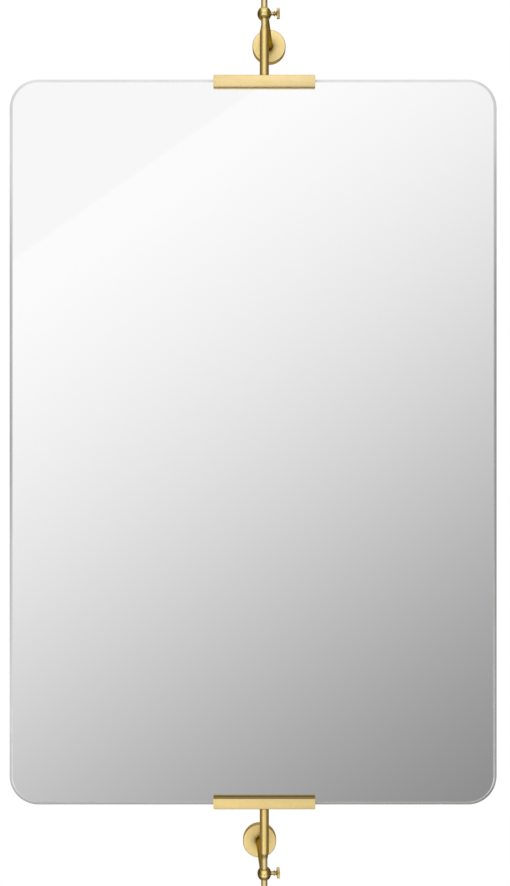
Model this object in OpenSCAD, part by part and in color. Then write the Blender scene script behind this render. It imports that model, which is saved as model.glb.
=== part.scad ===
// Pivot wall mirror.
// A frameless glass hangs between two wall brackets. A channel clip holds the middle of its top edge and
// another the middle of its bottom edge. Each clip carries a sleeve that turns on a thin rod, and each rod is
// clamped in the bored ball of a bracket by a thumb-screw.
// Millimetres: +X to the right, +Y into the wall, +Z up. The origin is on the wall, straight behind the
// pivot line, at the height of the top ball.

/* [Glass] */
// Width of the glass
glass_w = 610; // [400:5:900]
// Height of the glass
glass_h = 908; // [500:2:1400]
// Thickness of the glass
glass_t = 6; // [4:0.5:8]
// Radius of the rounded corners
corner_r = 36; // [14:1:90]
// Width of the polished bevel round the front edge
bevel_w = 4; // [1:0.5:10]
// Depth of the polished bevel
bevel_d = 1.2; // [0.4:0.1:2.5]
// How far the middle of the glass lies to the left of the pivot line
glass_shift = 14; // [0:1:60]
// Thickness of the backing film
film_t = 0.4; // [0.2:0.1:1]
// How far the backing film stops short of the glass edge
film_inset = 2; // [1:0.5:6]

/* [Clips] */
// Length of a clip along the glass
clip_l = 127; // [100:1:200]
// How far a clip reaches over the glass
clip_lip = 11; // [8:0.5:20]
// Thickness of the clip's front and rear legs
clip_leg = 4.4; // [2:0.1:5]
// Thickness of the clip's web, past the glass edge
clip_web = 2.4; // [2.2:0.1:5]
// Chamfer along the clip's outer edges
clip_chamfer = 0.6; // [0.2:0.1:1]
// Chamfer across the clip's outer corners, seen from the front
clip_corner = 1.2; // [0.4:0.1:3]
// Thickness of the gasket between clip and glass
gasket_t = 0.8; // [0.5:0.1:2]
// Distance between the two grub screws of a clip
clip_screw_span = 80; // [40:2:90]
// Diameter of a clip's grub screws
clip_screw_d = 4; // [3:0.5:5]

/* [Sleeves] */
// Outer diameter of a sleeve
sleeve_d = 11.5; // [11:0.5:16]
// Length of a sleeve's straight part
sleeve_l = 56; // [30:1:120]
// Length of the sleeve's conical shoulder
shoulder_l = 8; // [4:0.5:15]
// Wall left round the rod at the sleeve's mouth
mouth_wall = 0.4; // [0.4:0.1:0.8]
// Solid length at the sleeve's base
sleeve_base = 18; // [12:1:24]
// Diameter of the screw that holds the sleeve to the clip
sleeve_screw_d = 4; // [3:0.5:4.5]

/* [Rods] */
// Diameter of a rod
rod_d = 8; // [6:0.5:9]
// Distance from a ball's centre to the finial on the rod's end
rod_reach = 34; // [26:1:60]
// Diameter of a finial's ball
finial_d = 13; // [12:0.5:18]
// Thickness of the thrust washer under the bottom sleeve's base
washer_t = 1; // [0.5:0.1:2]

/* [Brackets] */
// Distance from the wall to the pivot line
axis_to_wall = 100; // [60:1:160]
// Angle of the arms off square: the top arm leans right and the bottom arm left, towards the wall
arm_lean = 4; // [0:0.5:8]
// Gap between the top sleeve's mouth and the top ball
gap_above = 9.4; // [4:0.1:16]
// Gap between the bottom sleeve's mouth and the bottom ball
gap_below = 13.4; // [4:0.1:16]
// Diameter of a ball
ball_d = 17.4; // [17:0.2:22]
// Diameter of the flats where the rod leaves a ball
ball_flat_d = 12.4; // [10:0.2:13]
// Diameter of an arm
arm_d = 10; // [8:0.5:11]
// Depth of the arm's seat in the ball
arm_seat = 0.7; // [0.3:0.1:0.9]

/* [Wall plates] */
// Diameter of a wall plate
plate_d = 45; // [44:1:70]
// Thickness of a wall plate
plate_t = 8; // [7.5:0.5:14]
// Thickness of the plate's front web
plate_web = 3; // [2:0.5:3.5]
// Thickness of the plate's rim
plate_rim = 3; // [2.5:0.5:4]
// Chamfer round the plate's front edge
plate_chamfer = 0.8; // [0.3:0.1:1.5]
// Diameter of the grub screw in the plate's rim
plate_screw_d = 4; // [3:0.5:4]
// Diameter of the holes for the wall screws
wall_screw_d = 4.5; // [3.5:0.5:5]
// Distance between the two wall screws of a bracket
wall_screw_span = 26; // [24:1:28]
// Diameter of the bolt that holds an arm to its plate
arm_bolt_d = 5; // [4:0.5:5]
// Length of that bolt inside the arm
arm_bolt_l = 12; // [8:1:20]

/* [Thumb-screws] */
// Diameter of a thumb-screw's thread
thumb_d = 5; // [4:0.5:6]
// Distance from the ball to the thumb-screw's head
thumb_neck = 7.2; // [6:0.1:12]
// Diameter of a thumb-screw's head
thumb_head_d = 13; // [12:0.5:24]
// Thickness of a thumb-screw's head
thumb_head_t = 3.2; // [3:0.1:8]
// Length of the clamp pad between the thumb-screw and the rod
pad_l = 2; // [1:0.1:2.4]

/* [Fits] */
// Radial clearance of a turning or sliding fit
run_fit = 0.05; // [0.02:0.01:0.1]
// Radial clearance of a screw or spigot in its hole
screw_fit = 0.05; // [0.02:0.01:0.1]
// Gap between a clamp pad and its rod
pad_gap = 0.25; // [0.1:0.05:0.4]
// Gap between the wall disc and the plate round it
disc_gap = 0.3; // [0.1:0.1:0.5]
// End play of a rod in its sleeve
end_play = 0.2; // [0.1:0.1:0.3]

/* [Hidden] */

$fn = 96;
cut = 1; // how far a cutting shape runs past the face it cuts

brass = [0.86, 0.72, 0.40];
dark_brass = [0.66, 0.53, 0.27];
silver = [0.80, 0.84, 0.86];
film_grey = [0.42, 0.44, 0.46];
rubber_black = [0.12, 0.12, 0.12];
steel = [0.62, 0.63, 0.65];
nylon = [0.92, 0.91, 0.86];

hex_share = 0.55;      // width across the corners of a hex socket, as a share of its screw's diameter
head_share = 1.8;      // diameter of a bolt's head, as a share of its thread's
sink_share = 1.9;      // diameter of a countersunk head, as a share of its thread's
sink_drop = 0.45;      // depth of a countersunk head, as a share of its thread's diameter

// The pane and the clip's channel, across the pane
pane_t = glass_t + film_t;
channel_w = pane_t + 2 * gasket_t;
clip_w = channel_w + 2 * clip_leg;

// Heights in one half of the mirror, from the middle of the glass outwards
edge_z = glass_h / 2;
lip_z = edge_z - clip_lip;
web_z = edge_z + gasket_t;
clip_top_z = web_z + clip_web;
bore_z = clip_top_z + sleeve_base;
shoulder_z = clip_top_z + sleeve_l;
mouth_z = shoulder_z + shoulder_l;
clip_screw_z = edge_z - clip_lip / 2;

// The rod, its bore and the sleeve's mouth
rod_hole_d = rod_d + 2 * run_fit;
mouth_d = rod_hole_d + 2 * mouth_wall;

// The screw between clip and sleeve
sleeve_screw_l = sleeve_base - 5;
sleeve_screw_room = 1;
sink_d = sink_share * sleeve_screw_d;
sink_h = sink_drop * sleeve_screw_d;

// The ball
ball_r = ball_d / 2;
flat_z = sqrt(pow(ball_r, 2) - pow(ball_flat_d / 2, 2));
seat_y = sqrt(pow(ball_r, 2) - pow(arm_d / 2, 2)) - arm_seat;
spigot_d = arm_d / 2;
spigot_floor = 0.5;
spigot_l = seat_y - rod_hole_d / 2 - spigot_floor;

// Heights of the balls over the middle of the glass, and of the middle of the glass in the part's own frame
top_ball_up = mouth_z + gap_above + flat_z;
bottom_ball_down = mouth_z + gap_below + flat_z;
middle_z = -top_ball_up;
top_ball_z = 0;
bottom_ball_z = middle_z - bottom_ball_down;

// The wall plate and the disc inside it, measured out from the wall
recess_d = plate_d - 2 * plate_rim;
recess_h = plate_t - plate_web;
disc_d = recess_d - 2 * disc_gap;
disc_t = recess_h - disc_gap;
disc_floor = 1.2;
bolt_head_d = head_share * arm_bolt_d;
bolt_head_h = 3.2;
bolt_room = 0.6;
wall_sink_d = 2 * wall_screw_d;
wall_sink_h = wall_screw_d / 2;
plate_shift = (axis_to_wall - plate_t) * tan(arm_lean);
arm_run = (axis_to_wall - plate_t) / cos(arm_lean) + arm_d;

// The thumb-screw, measured out from the ball's centre
thumb_tip = rod_d / 2 + pad_gap + pad_l;
thumb_head_z = ball_r + thumb_neck;
thumb_neck_r = thumb_d / 2 - 0.4;
thread_end = ball_r - 0.2;
bead_r = 1.1;
bead_half = 0.9;
bead_z = thumb_head_z - 3.3;
flare_w = 2;
flare_l = 1.9;
head_chamfer = 0.5;

// The finial, measured out from its base
finial_r = finial_d / 2;
finial_collar_r = finial_r - 0.7;
finial_collar_h = 2.4;
finial_neck_r = rod_hole_d / 2 + 0.7;
finial_neck_h = 1.2;
finial_socket = 6;
finial_ball_z = finial_collar_h + finial_neck_h + sqrt(pow(finial_r, 2) - pow(finial_neck_r, 2));
finial_nub_r = 1.6;
finial_nub_h = 1.5;

// ---------- where things go ----------

// One half of the mirror: +Z runs out from the middle of the glass along the pivot line.
module half(side) {
    translate([0, -axis_to_wall, middle_z])
        if (side > 0) children();
        else mirror([0, 0, 1]) children();
}

// A bracket's ball: +Y runs along the arm to the wall and +X along the thumb-screw.
module at_ball(side) {
    translate([0, -axis_to_wall, side > 0 ? top_ball_z : bottom_ball_z])
        rotate([0, 0, -side * arm_lean]) children();
}

// A bracket's place on the wall: +Z comes out of the wall and +Y points away from the mirror.
module on_wall(side) {
    translate([side * plate_shift, 0, side > 0 ? top_ball_z : bottom_ball_z])
        rotate([90, 0, 0])
            if (side > 0) children();
            else mirror([0, 1, 0]) children();
}

// The pane, laid flat: +Z comes out of its front face, from the back of the film.
module on_pane() {
    translate([-glass_shift, pane_t / 2 - axis_to_wall, middle_z])
        rotate([90, 0, 0]) children();
}

// A hexagon socket sunk from the plane at z = 0 downwards
module hex_socket(d, depth) {
    translate([0, 0, -depth])
        cylinder(d = d, h = depth + cut, $fn = 6);
}

// ---------- glass ----------

module rounded_pane(w, h, r) {
    square([w - 2 * r, h], center = true);
    square([w, h - 2 * r], center = true);
    for (x = [-1, 1], y = [-1, 1])
        translate([x * (w / 2 - r), y * (h / 2 - r)])
            circle(r = r);
}

// A straight run of the bevelled front layer, along X
module bevel_run(run, across) {
    rotate([90, 0, 90])
        translate([0, 0, -run / 2])
            linear_extrude(run)
                polygon([
                    [-across / 2, 0], [across / 2, 0],
                    [across / 2 - bevel_w, bevel_d], [bevel_w - across / 2, bevel_d]
                ]);
}

module mirror_glass() {
    color(silver)
        on_pane() translate([0, 0, film_t]) {
            linear_extrude(glass_t - bevel_d)
                rounded_pane(glass_w, glass_h, corner_r);
            translate([0, 0, glass_t - bevel_d]) {
                bevel_run(glass_w - 2 * corner_r, glass_h);
                rotate([0, 0, 90]) bevel_run(glass_h - 2 * corner_r, glass_w);
                for (x = [-1, 1], y = [-1, 1])
                    translate([x * (glass_w / 2 - corner_r), y * (glass_h / 2 - corner_r), 0])
                        cylinder(r1 = corner_r, r2 = corner_r - bevel_w, h = bevel_d);
            }
        }
}

module backing_film() {
    color(film_grey)
        on_pane()
            linear_extrude(film_t)
                rounded_pane(glass_w - 2 * film_inset, glass_h - 2 * film_inset, corner_r - film_inset);
}

// ---------- clips ----------

// The clip's outside: its end view run along the glass, cut to its front view
module clip_block() {
    low = lip_z;
    high = clip_top_z;
    intersection() {
        rotate([90, 0, 90])
            translate([0, 0, -clip_l / 2])
                linear_extrude(clip_l)
                    polygon([
                        [-clip_w / 2, low], [clip_w / 2, low],
                        [clip_w / 2, high - clip_chamfer], [clip_w / 2 - clip_chamfer, high],
                        [clip_chamfer - clip_w / 2, high], [-clip_w / 2, high - clip_chamfer]
                    ]);
        rotate([90, 0, 0])
            translate([0, 0, -clip_w / 2 - cut])
                linear_extrude(clip_w + 2 * cut)
                    polygon([
                        [-clip_l / 2, low], [clip_l / 2, low],
                        [clip_l / 2, high - clip_corner], [clip_l / 2 - clip_corner, high],
                        [clip_corner - clip_l / 2, high], [-clip_l / 2, high - clip_corner]
                    ]);
    }
}

// The slot that the given thickness fills, open towards the middle of the glass
module clip_slot(thickness, top) {
    translate([-clip_l / 2 - cut, -thickness / 2, lip_z - cut])
        cube([clip_l + 2 * cut, thickness, top - lip_z + cut]);
}

// Places for the grub screws in the clip's rear leg, +Z pointing to the wall
module clip_screw_places() {
    for (x = [-1, 1])
        translate([x * clip_screw_span / 2, channel_w / 2, clip_screw_z])
            rotate([-90, 0, 0]) children();
}

module clip(side) {
    color(brass)
        half(side) difference() {
            clip_block();
            clip_slot(channel_w, web_z);
            translate([0, 0, web_z]) {
                translate([0, 0, -cut])
                    cylinder(d = sleeve_screw_d + 2 * screw_fit, h = clip_web + 2 * cut);
                cylinder(d1 = sink_d + 2 * screw_fit, d2 = sleeve_screw_d + 2 * screw_fit, h = sink_h);
            }
            clip_screw_places()
                translate([0, 0, -cut])
                    cylinder(d = clip_screw_d + 2 * screw_fit, h = clip_leg + 2 * cut);
        }
}

module clip_gasket(side) {
    color(rubber_black)
        half(side) difference() {
            translate([-clip_l / 2, -channel_w / 2, lip_z])
                cube([clip_l, channel_w, web_z - lip_z]);
            clip_slot(pane_t, edge_z);
        }
}

module clip_screws(side) {
    color(steel)
        half(side) clip_screw_places()
            difference() {
                cylinder(d = clip_screw_d, h = clip_leg);
                translate([0, 0, clip_leg]) hex_socket(hex_share * clip_screw_d, clip_leg / 2);
            }
}

// ---------- sleeves ----------

module sleeve(side) {
    color(brass)
        half(side) difference() {
            union() {
                translate([0, 0, clip_top_z])
                    cylinder(d = sleeve_d, h = sleeve_l);
                translate([0, 0, shoulder_z])
                    cylinder(d1 = sleeve_d, d2 = mouth_d, h = shoulder_l);
            }
            translate([0, 0, bore_z])
                cylinder(d = rod_hole_d, h = mouth_z - bore_z + cut);
            translate([0, 0, clip_top_z - cut])
                cylinder(d = sleeve_screw_d + 2 * screw_fit, h = sleeve_screw_l + sleeve_screw_room + cut);
        }
}

module sleeve_screw(side) {
    color(steel)
        half(side) translate([0, 0, web_z])
            difference() {
                union() {
                    cylinder(d1 = sink_d, d2 = sleeve_screw_d, h = sink_h);
                    cylinder(d = sleeve_screw_d, h = clip_web + sleeve_screw_l);
                }
                mirror([0, 0, 1]) hex_socket(hex_share * sleeve_screw_d, sink_h);
            }
}

// ---------- rods ----------

// A rod, from the given height in its sleeve to the bottom of the finial's socket
module rod(side, low, ball_up) {
    color(brass)
        half(side) translate([0, 0, low])
            cylinder(d = rod_d, h = ball_up + rod_reach + finial_socket - low);
}

module thrust_washer() {
    color(nylon)
        half(-1) translate([0, 0, bore_z + end_play])
            cylinder(d = rod_d, h = washer_t);
}

module finial(side, ball_up) {
    color(brass)
        half(side) translate([0, 0, ball_up + rod_reach])
            difference() {
                union() {
                    cylinder(r = finial_collar_r, h = finial_collar_h);
                    cylinder(r = finial_neck_r, h = finial_ball_z);
                    translate([0, 0, finial_ball_z]) sphere(r = finial_r);
                    translate([0, 0, finial_ball_z])
                        cylinder(r = finial_nub_r, h = finial_r + finial_nub_h);
                }
                translate([0, 0, -cut])
                    cylinder(d = rod_hole_d, h = finial_socket + cut);
            }
}

// ---------- brackets ----------

module ball(side) {
    color(brass)
        at_ball(side) difference() {
            intersection() {
                sphere(r = ball_r);
                translate([0, 0, -flat_z]) cylinder(r = ball_d, h = 2 * flat_z);
            }
            translate([0, 0, -ball_r])
                cylinder(d = rod_hole_d, h = ball_d);
            rotate([0, 90, 0])
                cylinder(d = thumb_d + 2 * run_fit, h = ball_d);
            rotate([-90, 0, 0]) {
                translate([0, 0, seat_y])
                    cylinder(d = arm_d + 2 * screw_fit, h = ball_d);
                translate([0, 0, seat_y - spigot_l])
                    cylinder(d = spigot_d + 2 * screw_fit, h = ball_d);
            }
        }
}

// The arm: a spigot in the ball, and the wall end faced off flat against the plate
module arm(side) {
    color(dark_brass)
        difference() {
            at_ball(side) rotate([-90, 0, 0]) {
                translate([0, 0, seat_y])
                    cylinder(d = arm_d, h = arm_run - seat_y);
                translate([0, 0, seat_y - spigot_l])
                    cylinder(d = spigot_d, h = spigot_l + cut);
            }
            on_wall(side) {
                translate([-plate_d / 2, -plate_d / 2, plate_t - plate_d])
                    cube(plate_d);
                translate([0, 0, plate_t - cut])
                    cylinder(d = arm_bolt_d + 2 * screw_fit, h = arm_bolt_l + 2 * cut);
            }
        }
}

module arm_bolt(side) {
    color(steel)
        on_wall(side) difference() {
            union() {
                translate([0, 0, recess_h - bolt_head_h])
                    cylinder(d = bolt_head_d, h = bolt_head_h);
                translate([0, 0, recess_h - bolt_head_h])
                    cylinder(d = arm_bolt_d, h = bolt_head_h + plate_web + arm_bolt_l);
            }
            translate([0, 0, recess_h - bolt_head_h])
                mirror([0, 0, 1]) hex_socket(hex_share * arm_bolt_d, bolt_head_h / 2);
        }
}

// Place of the grub screw in the plate's rim, +Z pointing out of the rim on the side away from the mirror
module plate_screw_place() {
    translate([0, disc_d / 2, disc_t / 2])
        rotate([-90, 0, 0]) children();
}

module wall_plate(side) {
    color(brass)
        on_wall(side) difference() {
            union() {
                cylinder(d = plate_d, h = plate_t - plate_chamfer);
                translate([0, 0, plate_t - plate_chamfer])
                    cylinder(d1 = plate_d, d2 = plate_d - 2 * plate_chamfer, h = plate_chamfer);
            }
            translate([0, 0, -cut])
                cylinder(d = recess_d, h = recess_h + cut);
            cylinder(d = arm_bolt_d + 2 * screw_fit, h = plate_t + cut);
            plate_screw_place()
                cylinder(d = plate_screw_d + 2 * screw_fit, h = plate_rim + disc_gap + cut);
        }
}

module plate_screw(side) {
    color(steel)
        on_wall(side) plate_screw_place()
            difference() {
                cylinder(d = plate_screw_d, h = plate_rim);
                translate([0, 0, plate_rim]) hex_socket(hex_share * plate_screw_d, plate_rim / 2);
            }
}

module wall_disc(side) {
    color(steel)
        on_wall(side) difference() {
            cylinder(d = disc_d, h = disc_t);
            translate([0, 0, disc_floor])
                cylinder(d = bolt_head_d + 2 * bolt_room, h = disc_t);
            for (x = [-1, 1])
                translate([x * wall_screw_span / 2, 0, 0]) {
                    translate([0, 0, -cut])
                        cylinder(d = wall_screw_d, h = disc_t + 2 * cut);
                    translate([0, 0, disc_t - wall_sink_h])
                        cylinder(d1 = wall_screw_d, d2 = wall_sink_d, h = wall_sink_h);
                }
        }
}

// ---------- thumb-screws ----------

module clamp_pad(side) {
    color(nylon)
        at_ball(side) rotate([0, 90, 0])
            translate([0, 0, rod_d / 2 + pad_gap])
                cylinder(d = thumb_d, h = pad_l);
}

// Half the thumb-screw's side view, from its tip to its head: [radius, height]
thumb_outline = concat(
    [[0, thumb_tip], [thumb_d / 2, thumb_tip], [thumb_d / 2, thread_end], [thumb_neck_r, thread_end + 0.4]],
    [for (a = [-90:15:90]) [thumb_neck_r + bead_r * cos(a), bead_z + bead_half * sin(a)]],
    [for (a = [0:15:90]) [thumb_neck_r + flare_w * (1 - cos(a)), thumb_head_z - flare_l * (1 - sin(a))]],
    [
        [thumb_head_d / 2 - head_chamfer, thumb_head_z],
        [thumb_head_d / 2, thumb_head_z + head_chamfer],
        [thumb_head_d / 2, thumb_head_z + thumb_head_t - head_chamfer],
        [thumb_head_d / 2 - head_chamfer, thumb_head_z + thumb_head_t],
        [0, thumb_head_z + thumb_head_t]
    ]
);

module thumb_screw(side) {
    color(brass)
        at_ball(side) rotate([0, 90, 0])
            rotate_extrude() polygon(thumb_outline);
}

// ---------- the nodes ----------

mirror_glass();
backing_film();
clip(1);  // top_clip
clip(-1);  // bottom_clip
clip_gasket(1);  // top_clip_gasket
clip_gasket(-1);  // bottom_clip_gasket
clip_screws(1);  // top_clip_screws
clip_screws(-1);  // bottom_clip_screws
sleeve(1);  // top_sleeve
sleeve(-1);  // bottom_sleeve
sleeve_screw(1);  // top_sleeve_screw
sleeve_screw(-1);  // bottom_sleeve_screw
rod(1, bore_z + end_play, top_ball_up);  // top_rod
rod(-1, bore_z + end_play + washer_t, bottom_ball_down);  // bottom_rod
finial(1, top_ball_up);  // top_finial
finial(-1, bottom_ball_down);  // bottom_finial
thrust_washer();
ball(1);  // top_ball
ball(-1);  // bottom_ball
arm(1);  // top_arm
arm(-1);  // bottom_arm
wall_plate(1);  // top_wall_plate
wall_plate(-1);  // bottom_wall_plate
wall_disc(1);  // top_wall_disc
wall_disc(-1);  // bottom_wall_disc
plate_screw(1);  // top_plate_screw
plate_screw(-1);  // bottom_plate_screw
arm_bolt(1);  // top_arm_bolt
arm_bolt(-1);  // bottom_arm_bolt
clamp_pad(1);  // top_clamp_pad
clamp_pad(-1);  // bottom_clamp_pad
thumb_screw(1);  // top_thumb_screw
thumb_screw(-1);  // bottom_thumb_screw
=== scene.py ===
"""Dresses the pivot wall mirror for rendering.

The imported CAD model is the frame. This script gives its solids their finishes, replaces those whose real form
is finer than the solid, and sets up the studio. Lengths are in metres: +X to the right as seen from the room,
+Y into the wall, +Z up. The origin is on the wall, straight behind the top ball.
"""

import logging
import math
from collections.abc import Mapping, Sequence
from dataclasses import dataclass
from enum import Enum
from typing import Any

import bmesh
import bpy
from mathutils import Matrix, Vector


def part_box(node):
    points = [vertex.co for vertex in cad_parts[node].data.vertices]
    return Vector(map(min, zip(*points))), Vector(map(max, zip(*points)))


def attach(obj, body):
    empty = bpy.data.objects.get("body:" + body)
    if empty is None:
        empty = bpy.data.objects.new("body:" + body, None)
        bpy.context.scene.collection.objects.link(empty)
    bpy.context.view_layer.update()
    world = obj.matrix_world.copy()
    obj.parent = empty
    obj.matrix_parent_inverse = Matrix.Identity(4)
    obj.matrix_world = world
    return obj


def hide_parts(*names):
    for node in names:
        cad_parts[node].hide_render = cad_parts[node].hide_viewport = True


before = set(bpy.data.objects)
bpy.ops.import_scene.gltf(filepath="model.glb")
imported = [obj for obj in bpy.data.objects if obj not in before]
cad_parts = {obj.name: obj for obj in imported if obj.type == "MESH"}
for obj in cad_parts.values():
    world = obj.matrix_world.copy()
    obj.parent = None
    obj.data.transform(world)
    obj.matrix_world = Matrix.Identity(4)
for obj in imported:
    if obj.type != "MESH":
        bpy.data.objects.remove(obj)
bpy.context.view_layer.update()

LOG = logging.getLogger("pivot_mirror")
MM = 0.001
ARM_LEAN = math.radians(4)  # how far each arm leans to its side
TO_WALL = (-math.pi / 2, 0.0, 0.0)  # the turn that brings +Z to the direction into the wall
WHITE = (1.0, 1.0, 1.0)

Span = tuple[float, float]
Colour = tuple[float, float, float]
Point = tuple[float, float, float] | Vector
Outline = list[Span]
Stops = tuple[Span, ...]
Mesh = bpy.types.Mesh
Piece = bpy.types.Object
Material = bpy.types.Material
Socket = bpy.types.NodeSocket
Feed = float | int | Sequence[float] | Socket
Feeds = Mapping[str | int, Feed]


class Half(Enum):
    """The half of the mirror that a piece belongs to."""

    TOP = 1
    BOTTOM = -1

    @property
    def word(self) -> str:
        """The word that the half's pieces start with."""
        return self.name.lower()

    @property
    def outwards(self) -> Matrix:
        """The turn that brings +Z to the direction away from the middle of the glass."""
        return self.pick(Matrix.Identity(4), Matrix.Rotation(math.pi, 4, "X"))

    @property
    def lean(self) -> Matrix:
        """The turn by which the half's arm leans to its side."""
        return Matrix.Rotation(-self.value * ARM_LEAN, 4, "Z")

    def pick(self, top: Any, bottom: Any) -> Any:
        """Returns the first of two things for the top half, and the second for the bottom half."""
        return top if self is Half.TOP else bottom


class Slot(Enum):
    """The record's material slots that new pieces take."""

    SILVER = "mirror_silver"
    BRASS = "satin_brass"
    STEEL = "screw_steel"


class Body(Enum):
    """The bodies that new pieces ride on."""

    BRACKETS = "wall_brackets"
    RODS = "rods"
    MIRROR = "mirror"
    TOP_THUMB = "top_thumb"
    BOTTOM_THUMB = "bottom_thumb"


class Grain(Enum):
    """How a metal piece was finished."""

    TURNED = "turned"  # fine rings round the piece's own Z
    DRAWN = "drawn"  # fine lines along the piece's own Z


# ---------- node trees ----------


class Graph:
    """A shader or geometry node tree that is filled one node at a time."""

    def __init__(self, tree: bpy.types.NodeTree) -> None:
        """Takes the tree and empties it."""
        self.tree = tree
        tree.nodes.clear()

    def node(self, kind: str, feeds: Feeds | None = None, **settings: Any) -> bpy.types.Node:
        """Adds a node.

        Args:
            kind: The node's type name.
            feeds: Values or outputs for its inputs, by the input's name or number.
            settings: The node's own settings.

        Returns:
            The new node.
        """
        made = self.tree.nodes.new(kind)
        for name, value in settings.items():
            setattr(made, name, value)
        for key, value in (feeds or {}).items():
            self.feed(made.inputs[key], value)
        return made

    def out(self, kind: str, feeds: Feeds | None = None, **settings: Any) -> Socket:
        """Adds a node as node does, and returns its first output."""
        return self.node(kind, feeds, **settings).outputs[0]

    def feed(self, socket: Socket, value: Feed) -> None:
        """Gives an input a plain value, a colour as three numbers, or a link from another node."""
        if isinstance(value, Socket):
            self.tree.links.new(value, socket)
        elif socket.type == "RGBA":
            socket.default_value = (*value, 1.0)
        else:
            socket.default_value = value

    def math(self, operation: str, *terms: Feed, clamp: bool = False) -> Socket:
        """Returns the result of a Math node on one to three terms. Clamp keeps it from 0 to 1."""
        return self.out("ShaderNodeMath", dict(enumerate(terms)), operation=operation, use_clamp=clamp)

    def times(self, first: Feed, *others: Feed) -> Feed:
        """Returns the product of its terms."""
        for term in others:
            first = self.math("MULTIPLY", first, term)
        return first

    def line(self, value: Feed, slope: Feed, start: Feed) -> Socket:
        """Returns the value times the slope, plus the start."""
        return self.math("MULTIPLY_ADD", value, slope, start)

    def size(self, value: Feed) -> Socket:
        """Returns a number without its sign."""
        return self.math("ABSOLUTE", value)

    def radius(self, x: Feed, y: Feed) -> Socket:
        """Returns the distance of a point from the Z axis."""
        return self.math("SQRT", self.math("ADD", self.times(x, x), self.times(y, y)))

    def split(self, vector: Socket) -> tuple[Socket, ...]:
        """Returns the X, Y and Z of a vector."""
        return tuple(self.node("ShaderNodeSeparateXYZ", {0: vector}).outputs)

    def join(self, x: Feed, y: Feed, z: Feed) -> Socket:
        """Returns a vector of three numbers."""
        return self.out("ShaderNodeCombineXYZ", {0: x, 1: y, 2: z})

    def ease(self, value: Feed, low: float, high: float, start: float = 0.0, end: float = 1.0) -> Socket:
        """Turns a value smoothly from one number to another.

        Args:
            value: What is followed.
            low: The value at which the result leaves start.
            high: The value at which the result reaches end.
            start: The result below low.
            end: The result above high.

        Returns:
            The result's output.
        """
        feeds = {"Value": value, "From Min": low, "From Max": high, "To Min": start, "To Max": end}
        return self.node("ShaderNodeMapRange", feeds, interpolation_type="SMOOTHSTEP").outputs["Result"]

    def blend(self, share: Feed, first: Feed, second: Feed) -> Socket:
        """Returns a mix of two colours, with the share of the second one."""
        feeds = {0: share, 6: first, 7: second}
        return self.node("ShaderNodeMix", feeds, data_type="RGBA", clamp_factor=True).outputs[2]

    def between(self, share: Feed, first: Feed, second: Feed) -> Socket:
        """Returns a mix of two numbers, with the share of the second one."""
        feeds = {0: share, 2: first, 3: second}
        return self.out("ShaderNodeMix", feeds, data_type="FLOAT", clamp_factor=True)

    def noise(self, vector: Socket, scale: float, detail: float) -> Socket:
        """Returns a random value round 0.5, smooth over 1 / scale, with some finer layers of detail."""
        return self.out("ShaderNodeTexNoise", {"Vector": vector, "Scale": scale, "Detail": detail})

    def curve(self, value: Feed, stops: Stops) -> Socket:
        """Reads a number off a smooth ramp at a place from 0 to 1, given its stops: places and numbers."""
        made = self.node("ShaderNodeValToRGB", {0: value})
        ramp = made.color_ramp
        ramp.interpolation = "EASE"
        for index, (place, level) in enumerate(stops):
            stop = ramp.elements[index] if index < len(ramp.elements) else ramp.elements.new(place)
            stop.position = place
            stop.color = (level, level, level, 1.0)
        return made.outputs[0]


# ---------- finishes ----------


@dataclass(frozen=True)
class Surface:
    """The nodes that every finish starts from. Its place is the coordinate in the piece's own frame."""

    graph: Graph
    shader: bpy.types.Node
    place: Socket

    CONE = 1.37  # how many rings pass on the way out for each one on the way up
    DRIFT = 40.0  # how often a ring changes on its way round, in a metre

    def noise(self, scale: float, detail: float) -> Socket:
        """Returns a random value with so many features in a metre, and finer layers of detail."""
        return self.graph.noise(self.place, scale, detail)

    def stretched(self, across: float, along: float) -> Socket:
        """Returns the place scaled across and along the piece's own Z."""
        feeds = {0: self.place, 1: (across, across, along)}
        return self.graph.out("ShaderNodeVectorMath", feeds, operation="MULTIPLY")

    def rings(self, pace: float) -> Socket:
        """Returns a place that changes from ring to ring round the piece's own Z, pace times in a metre."""
        graph = self.graph
        x, y, z = graph.split(self.place)
        step = graph.times(graph.line(graph.radius(x, y), self.CONE, z), pace)
        return graph.join(graph.times(x, self.DRIFT), graph.times(y, self.DRIFT), step)

    def relief(self, height: Socket, depth: float, strength: float) -> None:
        """Adds a fine relief, whose height runs from 0 to 1. A height of 1 is depth metres."""
        feeds = {"Height": height, "Distance": depth, "Strength": strength}
        self.set(Normal=self.graph.out("ShaderNodeBump", feeds))

    def set(self, **feeds: Feed) -> None:
        """Sets the shader's inputs, with _ for each space in their names."""
        for name, value in feeds.items():
            self.graph.feed(self.shader.inputs[name.replace("_", " ")], value)


@dataclass(frozen=True, kw_only=True)
class Finish:
    """What a piece's surface is like."""

    at: Point = (0, 0, 0)  # the piece's own centre
    turn: Point = (0, 0, 0)  # the piece's own turn, which its patterns follow

    LABEL = ""

    def made(self, name: str) -> Material:
        """Makes the material on Object coordinates, named after the piece that it is for."""
        material = bpy.data.materials.new(f"{self.LABEL}_{name}")
        material.use_nodes = True
        graph = Graph(material.node_tree)
        shader = graph.node("ShaderNodeBsdfPrincipled")
        graph.node("ShaderNodeOutputMaterial", {"Surface": shader.outputs[0]})
        own = graph.node("ShaderNodeTexCoord").outputs["Object"]
        feeds = {"Vector": own, "Location": self.at, "Rotation": self.turn}
        place = graph.out("ShaderNodeMapping", feeds, vector_type="TEXTURE")
        self.paint(Surface(graph, shader, place), graph)
        return material

    def paint(self, surface: Surface, graph: Graph) -> None:
        """Adds the finish's own nodes to a started surface."""
        raise NotImplementedError


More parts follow.
